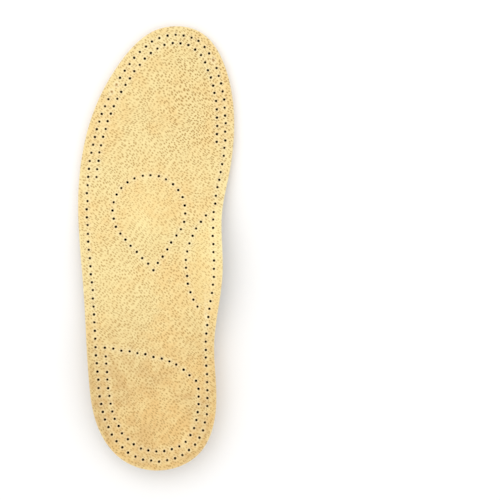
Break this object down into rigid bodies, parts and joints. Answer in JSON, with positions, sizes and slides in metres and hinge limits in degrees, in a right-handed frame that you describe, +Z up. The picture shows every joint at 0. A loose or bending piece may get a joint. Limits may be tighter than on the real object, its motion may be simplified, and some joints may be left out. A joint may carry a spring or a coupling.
{
  "type": "cushioned insole",
  "caption": "Leather-covered footbed insole with a cushioned forefoot, metatarsal and arch pads, a stiff arch and heel shell and a soft heel plug.",
  "frame": {"origin": "under the middle of the insole's length and width, on the plane it lies on", "axes": "+Y from heel to toe, +X towards the inner (arch) side of a left foot, +Z up through the layers to the leather cover"},
  "size_m": [0.0934, 0.265, 0.0203],
  "materials": {
    "cover_leather": "undyed pigskin, fine pebble grain, matt to soft sheen",
    "latex_foam": "open-cell latex foam, matt cut edge",
    "dotted_lining": "dark fabric with raised anti-slip dots",
    "pad_foam": "firmer latex foam, matt",
    "shell_fibreboard": "leather-faced fibreboard, moulded, fine grain",
    "plug_elastomer": "soft white elastomer, satin"
  },
  "bodies": {
    "rearfoot": {"cover_rear": "cover_leather", "foam_rear": "latex_foam", "lining_rear": "dotted_lining", "met_pad": "pad_foam", "arch_pad": "pad_foam", "arch_shell": "shell_fibreboard"},
    "forefoot": {"cover_front": "cover_leather", "foam_front": "latex_foam", "lining_front": "dotted_lining"},
    "heel_plug": {"heel_plug": "plug_elastomer"}
  },
  "joints": [
    {"name": "forefoot_flex", "type": "hinge", "parent": "rearfoot", "child": "forefoot", "pos_m": [0, 0.0575, 0.0046], "axis": [0.9444, 0.3289, 0], "range_deg": [0, 55], "stiffness_Nm_per_rad": 0.08},
    {"name": "heel_plug_press", "type": "slide", "parent": "rearfoot", "child": "heel_plug", "axis": [0, 0, 1], "range_m": [0, 0.0012], "stiffness_N_per_m": 20000, "deforming": ["heel_plug"]}
  ]
}
